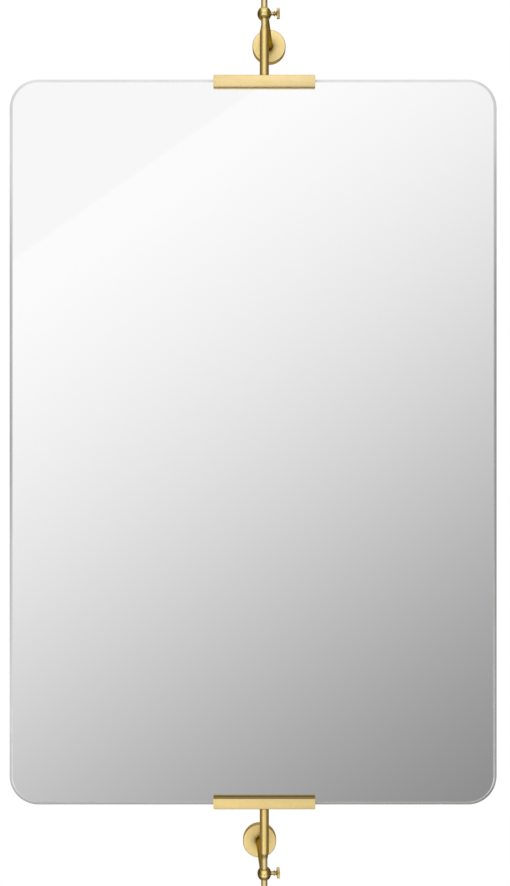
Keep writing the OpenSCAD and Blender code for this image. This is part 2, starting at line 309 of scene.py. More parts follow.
@dataclass(frozen=True, kw_only=True)
class SatinBrass(Finish):
    """Brass that was turned or brushed to a satin and lacquered, with painted shade darkening its corners."""

    grain: Grain = Grain.TURNED
    light: Colour = (0.93, 0.71, 0.285)
    deep: Colour = (0.86, 0.63, 0.215)
    # corner: the colour of the painted shade in corners and on flanks, and of the small tarnish spots
    corner: Colour = (0.20, 0.145, 0.035)
    rim: Colour = (0.76, 0.58, 0.25)  # the colour that it keeps at a glancing angle
    roughness: float = 0.34
    reach: float = 5 * MM  # how far from a joint the painted shade in its corners reaches
    shelter: Span = (0.35, 0.95)  # the openness at which the painted shade in a corner is full, and at which it is gone
    flank: float | None = None  # how far to the side of its axis the painted shade on its flanks reaches
    lip: float | None = None  # the height of an edge that gets a band of painted shade
    # the colour of the painted shade along the lip
    lip_tone: Colour = (0.20, 0.155, 0.075)

    LABEL = "satin_brass"
    LINES = 3200.0  # brushed lines in a metre
    ALONG = 22.0  # how often a drawn line changes in a metre
    CLOUDS = 70.0  # clouds of the lacquer in a metre
    SPOTS = 420.0  # small spots in a metre
    LIP = (0.9 * MM, 1.5 * MM)  # how far from its edge the painted shade on the lip starts to fade, and is gone

    def paint(self, surface: Surface, graph: Graph) -> None:
        """Adds the brushed lines, the clouds and spots, and the painted shade in corners, on flanks and at the
        lip.
        """
        turned = self.grain is Grain.TURNED
        lines_at = surface.rings(self.LINES) if turned else surface.stretched(self.LINES, self.ALONG)
        lines = graph.noise(lines_at, 1.0, 3.0)
        clouds = surface.noise(self.CLOUDS, 3.0)
        spots = graph.ease(surface.noise(self.SPOTS, 4.0), 0.60, 0.78)
        tone = graph.blend(graph.ease(clouds, 0.30, 0.75, 0.0, 0.45), self.light, self.deep)
        tone = graph.blend(graph.ease(lines, 0.35, 0.75, 0.0, 0.22), tone, self.deep)
        tone = graph.blend(graph.times(spots, 0.12), tone, self.corner)
        # painted shade: darker where other parts are near, by ambient occlusion
        shade_openness = graph.node("ShaderNodeAmbientOcclusion", {"Distance": self.reach}, samples=8).outputs["AO"]
        tone = graph.blend(graph.ease(shade_openness, *self.shelter, 0.92, 0.0), tone, self.corner)
        # painted shade: darker towards the flanks, to either side of the axis in X
        if self.flank is not None:
            side = graph.size(graph.split(surface.place)[0])
            flank_shade_share = graph.ease(side, 0.55 * self.flank, self.flank, 0.0, 0.50)
            tone = graph.blend(flank_shade_share, tone, self.corner)
        # painted shade: a dark band along the lip's edge, by the glass
        if self.lip is not None:
            height = graph.split(graph.node("ShaderNodeTexCoord").outputs["Object"])[2]
            off = graph.size(graph.math("SUBTRACT", height, self.lip))
            tone = graph.blend(graph.ease(off, *self.LIP, 0.9, 0.0), tone, self.lip_tone)
        rough = graph.line(graph.math("SUBTRACT", lines, 0.5), 0.16, self.roughness)
        rough = graph.line(spots, 0.10, rough)
        surface.set(Base_Color=tone, Roughness=rough, Metallic=1.0, Specular_Tint=self.rim)
        surface.relief(lines, 0.05 * MM, 0.25)


@dataclass(frozen=True, kw_only=True)
class PlainSteel(Finish):
    """Zinc-plated steel, turned."""

    light: Colour = (0.64, 0.64, 0.63)
    dark: Colour = (0.53, 0.53, 0.52)

    LABEL = "screw_steel"
    LINES = 2600.0  # turned lines in a metre
    CLOUDS = 160.0  # clouds of the zinc in a metre

    def paint(self, surface: Surface, graph: Graph) -> None:
        """Adds the turned lines and the clouds."""
        lines = graph.noise(surface.rings(self.LINES), 1.0, 2.0)
        clouds = surface.noise(self.CLOUDS, 4.0)
        tone = graph.blend(graph.ease(clouds, 0.35, 0.70), self.light, self.dark)
        surface.set(Base_Color=tone, Roughness=graph.line(clouds, 0.25, 0.24), Metallic=1.0)
        surface.relief(lines, 0.06 * MM, 0.35)


@dataclass(frozen=True, kw_only=True)
class SilveredGlass(Finish):
    """The clear face of a mirror, with the faint marks of a cloth."""

    tone: Colour = (0.960, 0.960, 0.960)
    wiped: Colour = (0.935, 0.937, 0.938)

    LABEL = "mirror_silver"
    WIPES = (3.0, 1.1)  # marks of the cloth in a metre, across and up
    DUST = 900.0  # specks in a metre

    def paint(self, surface: Surface, graph: Graph) -> None:
        """Adds the marks of the cloth and the dust."""
        wipes = graph.noise(surface.stretched(*self.WIPES), 1.0, 4.0)
        dust = surface.noise(self.DUST, 2.0)
        rough = graph.ease(wipes, 0.45, 0.80, 0.010, 0.022)
        rough = graph.math("ADD", rough, graph.ease(dust, 0.70, 0.90, 0.0, 0.05))
        tone = graph.blend(graph.ease(wipes, 0.40, 0.80, 0.0, 0.15), self.tone, self.wiped)
        surface.set(Base_Color=tone, Roughness=rough, Metallic=1.0)
        surface.relief(wipes, 0.01 * MM, 0.02)


@dataclass(frozen=True, kw_only=True)
class PolishedEdge(Finish):
    """The ground and polished edge of the glass. How much it mirrors is painted light: less near the top
    corners, where its pale body shows, and more lower down.
    """

    reach: Span  # the glass's half width and half height
    clear: Colour = (0.975, 0.98, 0.98)
    body: Colour = (0.93, 0.94, 0.94)
    # painted light: each side's metallic share from bottom to top; where it is low, the edge shows pale
    left: Stops = (
        (0.0, 0.42), (0.14, 0.10), (0.30, 0.30), (0.50, 0.58), (0.72, 0.45), (0.92, 0.0), (1.0, 0.15),
    )
    right: Stops = ((0.0, 0.76), (0.70, 0.68), (0.84, 0.40), (0.95, 0.0), (1.0, 0.20))

    LABEL = "mirror_silver"
    GRIND = 1400.0  # grinding marks in a metre
    WAVES = 45.0  # waves of the polish in a metre

    def paint(self, surface: Surface, graph: Graph) -> None:
        """Adds the grinding marks and waves. Left and right give each side's metallic share, from low to high:
        painted light, pale where it is low.
        """
        x, _, z = graph.split(surface.place)
        across = graph.line(x, 0.5 / self.reach[0], 0.5)
        height = graph.line(z, 0.5 / self.reach[1], 0.5)
        painted_edge_light = graph.between(across, graph.curve(height, self.left), graph.curve(height, self.right))
        grind = surface.noise(self.GRIND, 3.0)
        waves = surface.noise(self.WAVES, 3.0)
        tone = graph.blend(graph.ease(waves, 0.35, 0.65), self.clear, self.body)
        surface.set(Base_Color=tone, Roughness=graph.line(grind, 0.14, 0.10), Metallic=painted_edge_light)
        surface.relief(waves, 0.05 * MM, 0.15)


@dataclass(frozen=True, kw_only=True)
class SafetyFilm(Finish):
    """Grey film over the painted back, with the cross threads that hold it together."""

    ground: Colour = (0.33, 0.35, 0.37)
    thread: Colour = (0.50, 0.52, 0.54)
    pitch: float = 24 * MM
    width: Span = (0.015, 0.045)  # half a thread's width where it is full and where it ends, in pitches
    sway: float = 0.08  # how far a thread strays, in pitches

    LABEL = "backing_grey"
    SWAYS = 45.0  # bends of a thread in a metre
    GRAIN = 2200.0  # grains of the film in a metre
    CLOUDS = 26.0  # clouds of the film in a metre

    def paint(self, surface: Surface, graph: Graph) -> None:
        """Adds the film's grain and clouds, and the net of threads."""
        x, _, z = graph.split(surface.place)
        sway = surface.noise(self.SWAYS, 1.0)
        threads: list[Socket] = []
        for along in (graph.math("ADD", x, z), graph.math("SUBTRACT", x, z)):
            place = graph.line(sway, self.sway, graph.math("DIVIDE", along, self.pitch))
            threads.append(graph.ease(graph.math("PINGPONG", place, 0.5), *self.width, 1.0, 0.0))
        net = graph.math("MAXIMUM", *threads)
        grain = surface.noise(self.GRAIN, 3.0)
        clouds = surface.noise(self.CLOUDS, 4.0)
        tone = graph.blend(graph.ease(clouds, 0.3, 0.7, 0.0, 0.10), self.ground, self.thread)
        tone = graph.blend(graph.times(net, 0.75), tone, self.thread)
        surface.set(Base_Color=tone, Roughness=graph.ease(grain, 0.3, 0.7, 0.48, 0.62), Metallic=0.0)
        surface.relief(graph.line(grain, 0.25, net), 0.08 * MM, 0.5)


@dataclass(frozen=True, kw_only=True)
class GasketRubber(Finish):
    """Black rubber with a dull skin."""

    black: Colour = (0.022, 0.022, 0.022)
    bloomed: Colour = (0.050, 0.049, 0.047)

    LABEL = "gasket_rubber"
    SKIN = 1800.0  # pores in a metre
    BLOOM = 55.0  # pale clouds in a metre

    def paint(self, surface: Surface, graph: Graph) -> None:
        """Adds the skin and its pale bloom."""
        skin = surface.noise(self.SKIN, 4.0)
        bloom = graph.ease(surface.noise(self.BLOOM, 3.0), 0.45, 0.75)
        tone = graph.blend(bloom, self.black, self.bloomed)
        surface.set(Base_Color=tone, Roughness=graph.ease(skin, 0.3, 0.7, 0.60, 0.75), Metallic=0.0)
        surface.relief(skin, 0.05 * MM, 0.6)


@dataclass(frozen=True, kw_only=True)
class NaturalNylon(Finish):
    """Milky nylon with the marks of a lathe."""

    deep: Colour = (0.80, 0.78, 0.71)
    milky: Colour = (0.88, 0.87, 0.82)

    LABEL = "nylon"
    LINES = 2200.0  # turned lines in a metre
    MILK = 300.0  # milky clouds in a metre

    def paint(self, surface: Surface, graph: Graph) -> None:
        """Adds the turned lines and the milky clouds."""
        lines = graph.noise(surface.rings(self.LINES), 1.0, 2.0)
        milk = surface.noise(self.MILK, 3.0)
        tone = graph.blend(graph.ease(milk, 0.3, 0.7), self.deep, self.milky)
        surface.set(Base_Color=tone, Roughness=graph.ease(lines, 0.3, 0.7, 0.38, 0.52), Metallic=0.0)
        surface.relief(lines, 0.05 * MM, 0.4)


@dataclass(frozen=True, kw_only=True)
class PaleFloor(Finish):
    """A pale speckled floor that fades out at its edge and glows a little for the camera."""

    grey: Colour = (0.90, 0.90, 0.89)
    pale: Colour = (0.94, 0.94, 0.935)
    fade: Span = (0.75, 1.15)  # how far from its middle it starts to fade, and is gone

    LABEL = "pale"
    SPECKLES = 380.0  # in a metre

    def paint(self, surface: Surface, graph: Graph) -> None:
        """Adds the speckles, the fade and the glow."""
        speckle = surface.noise(self.SPECKLES, 3.0)
        tone = graph.blend(speckle, self.grey, self.pale)
        surface.set(Base_Color=tone, Roughness=graph.ease(speckle, 0.3, 0.7, 0.60, 0.70))
        surface.relief(speckle, 0.1 * MM, 0.2)
        length = graph.node("ShaderNodeVectorMath", {0: surface.place}, operation="LENGTH").outputs["Value"]
        seen = graph.node("ShaderNodeLightPath").outputs["Is Camera Ray"]
        surface.set(Emission_Color=WHITE, Emission_Strength=graph.times(seen, 0.10))
        surface.set(Alpha=graph.ease(length, *self.fade, 1.0, 0.0))


# ---------- Geometry Nodes ----------


class FormTree:
    """A Geometry Nodes tree with named inputs, which ends in Realize Instances and Set Material."""

    fields: Mapping[str, tuple[str, Any]] = {}  # each input's name, with its kind and value
    name = "form"

    def __init__(self) -> None:
        """Builds the tree."""
        self.tree = bpy.data.node_groups.new(self.name, "GeometryNodeTree")
        self.graph = Graph(self.tree)
        face = self.tree.interface
        face.new_socket("Geometry", in_out="INPUT", socket_type="NodeSocketGeometry")
        for name, (kind, value) in self.fields.items():
            socket = face.new_socket(name, in_out="INPUT", socket_type=f"NodeSocket{kind}")
            if value is not None:
                socket.default_value = value
        face.new_socket("Geometry", in_out="OUTPUT", socket_type="NodeSocketGeometry")
        self.inputs = self.graph.node("NodeGroupInput").outputs
        self.graph.node("NodeGroupOutput", {0: self.build()})

    def build(self) -> Socket:
        """Adds the nodes and returns the finished geometry."""
        raise NotImplementedError

    def moved(self, geometry: Socket, **where: Feed) -> Socket:
        """Returns the geometry with its points at a new Position, or moved by an Offset."""
        return self.graph.out("GeometryNodeSetPosition", {"Geometry": geometry, **where})

    def swept(self, path: Socket) -> Socket:
        """Returns the surface that the base mesh draws when it runs along the path."""
        side = self.graph.out("GeometryNodeMeshToCurve", {0: self.inputs["Geometry"]})
        return self.graph.out("GeometryNodeCurveToMesh", {"Curve": path, "Profile Curve": side})

    def merged(self, geometry: Socket, distance: float) -> Socket:
        """Returns the geometry with the points closer than the distance made one."""
        return self.graph.out("GeometryNodeMergeByDistance", {"Geometry": geometry, "Distance": distance})

    def smooth(self, geometry: Socket, crease: Feed) -> Socket:
        """Shades a mesh smooth, but for edges sharper than the crease, an angle in radians."""
        angle = self.graph.out("GeometryNodeInputMeshEdgeAngle")
        sharp = self.graph.math("GREATER_THAN", angle, crease)
        round_all = self.graph.out("GeometryNodeSetShadeSmooth", {"Geometry": geometry}, domain="FACE")
        feeds = {"Geometry": round_all, "Selection": sharp, "Shade Smooth": False}
        return self.graph.out("GeometryNodeSetShadeSmooth", feeds, domain="EDGE")

    def finished(self, geometry: Socket, finish: Socket, **picked: Socket) -> Socket:
        """Makes instances real and gives the mesh, or the Selection of its faces, a material."""
        real = self.graph.out("GeometryNodeRealizeInstances", {0: geometry})
        return self.graph.out("GeometryNodeSetMaterial", {"Geometry": real, "Material": finish, **picked})

    def grow(self, name: str, base: Mesh, sizes: Mapping[str, Any], place: Matrix) -> Piece:
        """Runs the tree on a base mesh and keeps the result as a plain mesh.

        Args:
            name: The new piece's name.
            base: What the tree starts from.
            sizes: Values for the named inputs.
            place: Where the result goes, in the row frame.

        Returns:
            The new piece, at the origin, with its place in its mesh.
        """
        source = linked(f"{name}_source", base)
        modifier = source.modifiers.new("form", "NODES")
        modifier.node_group = self.tree
        names = {i.name: i.identifier for i in self.tree.interface.items_tree if i.in_out == "INPUT"}
        for label, value in sizes.items():
            modifier[names[label]] = value
        evaluated = source.evaluated_get(bpy.context.evaluated_depsgraph_get())
        mesh = bpy.data.meshes.new_from_object(evaluated)
        source.modifiers.remove(modifier)
        bpy.data.objects.remove(source)
        mesh.name = name
        mesh.transform(place)
        face_outwards(mesh)
        return linked(name, mesh)


def face_outwards(mesh: Mesh) -> None:
    """Turns a closed mesh's faces so that their normals point outwards."""
    form = bmesh.new()
    form.from_mesh(mesh)
    bmesh.ops.recalc_face_normals(form, faces=form.faces)
    form.to_mesh(mesh)
    form.free()


def linked(name: str, made: Mesh | bpy.types.Camera | bpy.types.Light) -> Piece:
    """Puts a mesh, a camera or a light into the scene as a new object and returns it."""
    piece = bpy.data.objects.new(name, made)
    bpy.context.scene.collection.objects.link(piece)
    return piece


def side_view(outline: Outline, spin: float = 0.0) -> Mesh:
    """Makes the base mesh that a tree sweeps along a path.

    Args:
        outline: Points of the side view, each a distance outwards and a height, in metres.
        spin: The radius of the path, when the distances are taken from its middle.

    Returns:
        The mesh of its edges: X runs outwards and Y is the height turned over.
    """
    mesh = bpy.data.meshes.new("side_view")
    points = [(out - spin, -height, 0.0) for out, height in outline]
    mesh.from_pydata(points, [(i, i + 1) for i in range(len(points) - 1)], [])
    return mesh


class TurningTree(FormTree):
    """Spins a side view round Z. Its rim may be knurled, and its middle may be drawn in to a hexagon socket.

    The side view is drawn from the axis and back to it.
    """

    SPIN = 10 * MM
    SLIVER = 0.1 * MM  # the smallest radius that the knurl is measured against
    name = "turned_piece"
    fields = {
        "Segments": ("Int", 96),
        "Crease": ("Float", math.radians(32)),
        "Knurl Count": ("Int", 0),
        "Knurl Depth": ("Float", 0.0),
        "Knurl From": ("Float", 1.0),
        "Socket Radius": ("Float", 0.0),
        "Finish": ("Material", None),
    }

    def build(self) -> Socket:
        """Adds the nodes and returns the finished geometry."""
        graph, given = self.graph, self.inputs
        circle = {"Resolution": given["Segments"], "Radius": self.SPIN}
        spun = self.swept(graph.out("GeometryNodeCurvePrimitiveCircle", circle, mode="RADIUS"))
        x, y, z = graph.split(graph.out("GeometryNodeInputPosition"))
        angle = graph.math("ARCTAN2", y, x)
        radius = graph.radius(x, y)
        share = graph.times(self.knurl(angle, radius), self.hexagon(angle, radius))
        there = graph.join(graph.times(x, share), graph.times(y, share), z)
        shaped = self.moved(self.merged(spun, 0.001 * MM), Position=there)
        return self.finished(self.smooth(shaped, given["Crease"]), given["Finish"])

    def knurl(self, angle: Socket, radius: Socket) -> Socket:
        """Returns the share of its radius that the knurl leaves to a point."""
        graph, given = self.graph, self.inputs
        turns = graph.times(graph.math("DIVIDE", angle, math.tau), given["Knurl Count"])
        valley = graph.times(graph.math("PINGPONG", turns, 0.5), 2.0)
        on_rim = graph.math("GREATER_THAN", radius, given["Knurl From"])
        cut = graph.times(valley, given["Knurl Depth"], on_rim)
        lost = graph.math("DIVIDE", cut, graph.math("MAXIMUM", radius, self.SLIVER))
        return graph.math("SUBTRACT", 1.0, lost)

    def hexagon(self, angle: Socket, radius: Socket) -> Socket:
        """Returns the share of its radius that the socket's six flats leave to a point."""
        graph, sixth = self.graph, math.pi / 3
        off_flat = graph.math("SUBTRACT", graph.math("FLOORED_MODULO", angle, sixth), sixth / 2)
        flat = graph.math("DIVIDE", math.cos(sixth / 2), graph.math("COSINE", off_flat))
        limit = graph.math("ADD", self.inputs["Socket Radius"], 0.01 * MM)
        return graph.between(graph.math("LESS_THAN", radius, limit), 1.0, flat)


class PaneTree(FormTree):
    """A flat pane with rounded corners, whose edge follows a side view, lying in XY with its face up."""

    SMALLEST = 0.01  # square metres, more than any face of the edge has
    name = "rounded_pane"
    fields = {
        "Width": ("Float", 0.6),
        "Height": ("Float", 0.9),
        "Thickness": ("Float", 0.006),
        "Corner Radius": ("Float", 0.036),
        "Corner Steps": ("Int", 28),
        "Face Inset": ("Float", 0.004),
        "Back Inset": ("Float", 0.001),
        "Face Finish": ("Material", None),
        "Edge Finish": ("Material", None),
    }

    def outline(self, inset: Feed) -> Socket:
        """Returns the pane's front view as a closed curve, the inset inside its edge."""
        graph, given = self.graph, self.inputs
        sides = {side: graph.line(inset, -2.0, given[side]) for side in ("Width", "Height")}
        feeds = {
            "Curve": graph.out("GeometryNodeCurvePrimitiveQuadrilateral", sides),
            "Count": given["Corner Steps"],
            "Radius": graph.math("SUBTRACT", given["Corner Radius"], inset),
        }
        return graph.out("GeometryNodeFilletCurve", feeds, mode="POLY")

    def sheet(self, inset: Feed, side: int) -> Socket:
        """Returns the front view filled, the inset inside its edge, at the face (1) or the back (-1)."""
        graph = self.graph
        filled = graph.out("GeometryNodeFillCurve", {"Curve": self.outline(inset)}, mode="NGONS")
        height = graph.times(self.inputs["Thickness"], side / 2)
        return self.moved(filled, Offset=graph.join(0.0, 0.0, height))

    def build(self) -> Socket:
        """Adds the nodes and returns the finished geometry."""
        graph, given = self.graph, self.inputs
        feeds = {"Geometry": self.swept(self.outline(0.0)), "Material": given["Edge Finish"]}
        rim = {"Geometry": graph.out("GeometryNodeSetMaterial", feeds)}
        rounded = graph.out("GeometryNodeSetShadeSmooth", rim, domain="FACE")
        whole = graph.node("GeometryNodeJoinGeometry")
        for part in (rounded, self.sheet(given["Back Inset"], -1), self.sheet(given["Face Inset"], 1)):
            graph.feed(whole.inputs[0], part)
        closed = self.merged(whole.outputs[0], 0.02 * MM)
        large = graph.math("GREATER_THAN", graph.out("GeometryNodeInputMeshFaceArea"), self.SMALLEST)
        return self.finished(closed, given["Face Finish"], Selection=large)


class ScrewRowTree(FormTree):
    """Puts a copy of one screw on each point of the base mesh."""

    name = "screw_row"
    fields = {
        "Screw": ("Object", None),
        "Turn": ("Rotation", None),
        "Finish": ("Material", None),
    }

    def build(self) -> Socket:
        """Adds the nodes and returns the finished geometry."""
        given = self.inputs
        screw = self.graph.node("GeometryNodeObjectInfo", {"Object": given["Screw"]}).outputs["Geometry"]
        feeds = {"Points": given["Geometry"], "Instance": screw, "Rotation": given["Turn"]}
        return self.finished(self.graph.out("GeometryNodeInstanceOnPoints", feeds), given["Finish"])


# ---------- pieces ----------


def arc(centre: Span, radii: Span, start: float, end: float, steps: int) -> Outline:
    """Draws part of an ellipse.

    Args:
        centre: Its middle.
        radii: Its half width and half height.
        start: The first angle, in degrees.
        end: The last angle, in degrees.
        steps: The number of straight pieces.

    Returns:
        The points, ends included.
    """
    angles = [math.radians(start + (end - start) * i / steps) for i in range(steps + 1)]
    return [(centre[0] + radii[0] * math.cos(a), centre[1] + radii[1] * math.sin(a)) for a in angles]


def stand_for(piece: Piece, node: str, body: Body) -> None:
    """Puts a new piece in a CAD node's stead.

    Args:
        piece: The new piece.
        node: The CAD node that it stands for.
        body: The body that it moves with.
    """
    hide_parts(node)
    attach(piece, body.value)
    LOG.info("%s: %d faces, stands for %s", piece.name, len(piece.data.polygons), node)


def dress(node: str, finish: Finish, word: str | None = None) -> None:
    """Gives a CAD node its finish. The material is named after the node, or after the word."""
    material = finish.made(word or node)
    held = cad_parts[node]
    held.data.materials.clear()
    held.data.materials.append(material)
    LOG.info("%s: CAD solid, %s", node, material.name)


def middle(node: str) -> Vector:
    """Returns the middle of a CAD node's box."""
    low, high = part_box(node)
    return (low + high) / 2


def softened(node: str, name: str, width: float) -> Piece:
    """Copies a CAD node and breaks its sharp edges. Its large faces are shaded flat.

    Args:
        node: The CAD node.
        name: The new piece's name.
        width: How wide each edge is broken.

    Returns:
        The new piece.
    """
    crease, large = math.radians(25), 60 * MM**2
    form = bmesh.new()
    form.from_mesh(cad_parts[node].data)
    bmesh.ops.remove_doubles(form, verts=form.verts, dist=0.002 * MM)
    bmesh.ops.dissolve_limit(form, angle_limit=math.radians(0.5), verts=form.verts, edges=form.edges)
    sharp = [e for e in form.edges if e.is_manifold and e.calc_face_angle(0.0) > crease]
    cut = {"segments": 3, "profile": 0.5, "affect": "EDGES", "clamp_overlap": True}
    bmesh.ops.bevel(form, geom=sharp, offset=width, **cut)
    bmesh.ops.recalc_face_normals(form, faces=form.faces)
    for face in form.faces:
        face.smooth = face.calc_area() < large
    mesh = bpy.data.meshes.new(name)
    form.to_mesh(mesh)
    form.free()
    mesh.set_sharp_from_angle(angle=math.radians(40))
    return linked(name, mesh)


class Workshop:
    """The trees that make the repeated and turned forms, each built once."""

    def __init__(self) -> None:
        """Builds the trees."""
        self.turning = TurningTree()
        self.pane = PaneTree()
        self.screw_row = ScrewRowTree()

    def turned(self, name: str, outline: Outline, place: Matrix, finish: Material, **sizes: Any) -> Piece:
        """Turns a piece.

        Args:
            name: The piece's name.
            outline: Its side view, from the axis and back to it, each point a radius and a height.
            place: Where it goes.
            finish: Its material.
            sizes: More inputs of the tree, with _ for each space.

        Returns:
            The piece.
        """
        values = {key.replace("_", " "): value for key, value in sizes.items()}
        base = side_view(outline, self.turning.SPIN)
        return self.turning.grow(name, base, {**values, "Finish": finish}, place)

    def grub_screws(self, name: str, places: list[Point], radius: float, length: float, turn: Point) -> Piece:
        """Makes a row of hexagon-socket grub screws.

        Args:
            name: The piece's name.
            places: The middle of each screw's inner end.
            radius: A screw's radius.
            length: A screw's length.
            turn: The turn that brings +Z to a screw's outer end.

        Returns:
            The piece.
        """
        edge, key, floor = 0.12 * radius, 0.55 * radius, 0.5 * length
        outline: Outline = [
            (0.0, 0.0), (0.6 * radius, 0.0), (radius, 0.2 * radius), (radius, length - edge),
            (radius - edge, length), (1.08 * key, length), (key, length - 0.06 * radius),
            (key, floor), (0.0, floor - 0.2 * radius),
        ]
        finish = PlainSteel(at=places[0], turn=turn).made(name)
        still = Matrix.Identity(4)
        screw = self.turned(f"{name}_pattern", outline, still, finish, Segments=48, Socket_Radius=key)
        points = bpy.data.meshes.new("screw_places")
        points.from_pydata(places, [], [])
        piece = self.screw_row.grow(name, points, {"Screw": screw, "Turn": turn, "Finish": finish}, still)
        bpy.data.objects.remove(screw)
        return piece


@dataclass
class MirrorPane:
    """The glass with its film."""

    shop: Workshop
    corner: float = 36 * MM
    roll: float = 4.4 * MM  # how far in from the edge the polish starts
    drop: float = 2.6 * MM  # how far back the polish reaches at the edge
    arris: float = 0.8 * MM  # the small rounding at the back
    steps: int = 24
    start: float = 65.0  # the angle at which the polished arc meets the face, in degrees

    def edge_view(self, thickness: float) -> Mesh:
        """Makes the side view of the edge of a glass of this thickness."""
        half = thickness / 2
        rise, run = math.sin(math.radians(self.start)), 1 - math.cos(math.radians(self.start))
        radii = (self.roll / run, self.drop / rise)
        front = arc((-radii[0], half - self.drop), radii, self.start, 0, self.steps)
        back = arc((-self.arris, self.arris - half), (self.arris, self.arris), 0, -90, self.steps // 2)
        return side_view(front + back)

    def build(self) -> None:
        """Makes the glass and dresses the film."""
        low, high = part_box("mirror_glass")
        size, centre = high - low, (low + high) / 2
        sizes = {
            "Width": size.x,
            "Height": size.z,
            "Thickness": size.y,
            "Corner Radius": self.corner,
            "Face Inset": self.roll,
            "Back Inset": self.arris,
            "Face Finish": SilveredGlass().made("face"),
            "Edge Finish": PolishedEdge(at=centre, reach=(size.x / 2, size.z / 2)).made("edge"),
        }
        place = Matrix.Translation(centre) @ Matrix.Rotation(math.pi / 2, 4, "X")
        glass = self.shop.pane.grow("polished_glass", self.edge_view(size.y), sizes, place)
        stand_for(glass, "mirror_glass", Body.MIRROR)
        dress("backing_film", SafetyFilm(), "film")


@dataclass
class HalfAssembly:
    """What each half of the mirror has once."""

    shop: Workshop
    half: Half

    def called(self, rest: str) -> str:
        """Returns the full name of one of the half's pieces."""
        return f"{self.half.word}_{rest}"

    def inner_end(self, node: str) -> Vector:
        """Returns the middle of a node's end towards the glass."""
        low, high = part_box(node)
        return Vector(((low.x + high.x) / 2, (low.y + high.y) / 2, self.half.pick(low.z, high.z)))

    def place(self, node: str) -> Matrix:
        """Returns the frame at a node's inner end, with +Z pointing away from the glass."""
        return Matrix.Translation(self.inner_end(node)) @ self.half.outwards

    def measure(self, node: str) -> Span:
        """Returns the radius and length of a node that was turned round an upright axis."""
        low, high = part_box(node)
        return (high.x - low.x) / 2, high.z - low.z

    def axis(self) -> Vector:
        """Returns a point on the pivot line."""
        return middle(self.called("rod"))


@dataclass
class GlassClip(HalfAssembly):
    """One brass channel on the glass, with its gasket and grub screws."""

    edge: float = 0.35 * MM

    @property
    def tones(self) -> dict[str, Colour]:
        """The clip's brass, with painted light: the top clip's is paler, and its lip only a little shaded; the
        bottom clip's is deeper, and its lip has dark painted shade.
        """
        return self.half.pick(
            {"light": (0.98, 0.78, 0.39), "deep": (0.91, 0.69, 0.30), "lip_tone": (0.88, 0.72, 0.42)},
            {"light": (0.98, 0.765, 0.35), "deep": (0.92, 0.685, 0.275)},
        )

    def build(self) -> None:
        """Makes the clip and dresses what it holds."""
        node = self.called("clip")
        clip = softened(node, self.called("channel_clip"), self.edge)
        along_x = (0.0, math.pi / 2, 0.0)
        lip = self.inner_end(node).z
        brass = {"grain": Grain.DRAWN, "at": middle(node), "turn": along_x, "roughness": 0.42, "lip": lip}
        clip.data.materials.append(SatinBrass(**brass, **self.tones).made(clip.name))
        stand_for(clip, node, Body.MIRROR)
        dress(self.called("clip_gasket"), GasketRubber(), "black")
        self.screws()

    def screws(self) -> None:
        """Makes the clip's two grub screws."""
        node = self.called("clip_screws")
        low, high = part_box(node)
        radius, level = (high.z - low.z) / 2, (low.z + high.z) / 2
        row = [(x, low.y, level) for x in (low.x + radius, high.x - radius)]
        name = self.called("clip_grub_screws")
        piece = self.shop.grub_screws(name, row, radius, high.y - low.y, TO_WALL)
        stand_for(piece, node, Body.MIRROR)


